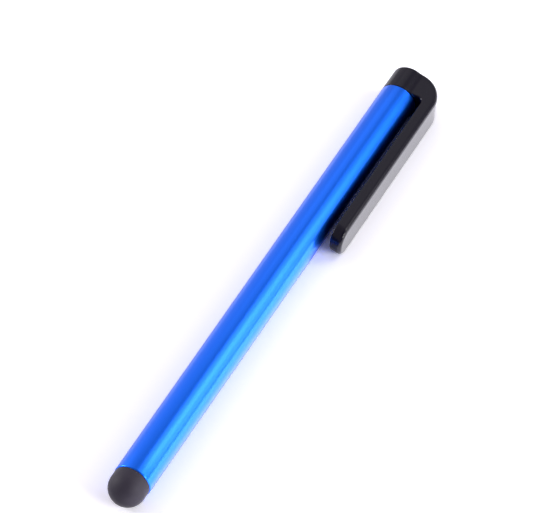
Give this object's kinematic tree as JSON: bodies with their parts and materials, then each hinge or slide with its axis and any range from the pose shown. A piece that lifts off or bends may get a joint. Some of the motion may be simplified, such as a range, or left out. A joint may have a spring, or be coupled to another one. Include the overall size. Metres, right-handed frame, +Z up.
{
  "type": "stylus pen",
  "caption": "Slim round stylus pen for touch screens: an anodised metal tube with a soft rubber dome at one end and a moulded cap with a flat pocket clip at the other.",
  "frame": {"origin": "on the table, under the middle of the pen's box as it lies", "axes": "+X runs along the pen from the rubber tip to the cap, +Y points away from the clip, +Z is up"},
  "size_m": [0.11, 0.0108, 0.007],
  "materials": {
    "anodised_tube": "satin blue anodising over a drawn tube, dyed over its cut ends too",
    "black_moulding": "black moulded ABS with a soft shine",
    "soft_rubber": "matt black conductive rubber",
    "insert_plastic": "black conductive plastic, hidden inside the tube"
  },
  "bodies": {
    "barrel": {"barrel_tube": "anodised_tube", "clip_cap": "black_moulding", "tip_holder": "insert_plastic"},
    "clip": {"clip_arm": "black_moulding"},
    "tip": {"rubber_tip": "soft_rubber"}
  },
  "joints": [
    {"name": "clip_flex", "type": "hinge", "parent": "barrel", "child": "clip", "pos_m": [0.04848, -0.00519, 0.00297], "axis": [0, -0.0752, 0.9972], "range_deg": [0, 3], "stiffness_Nm_per_rad": 1.2},
    {"name": "tip_press", "type": "slide", "parent": "barrel", "child": "tip", "axis": [1, 0, 0], "range_m": [0, 0.001], "stiffness_N_per_m": 1000, "deforming": ["rubber_tip"]}
  ]
}
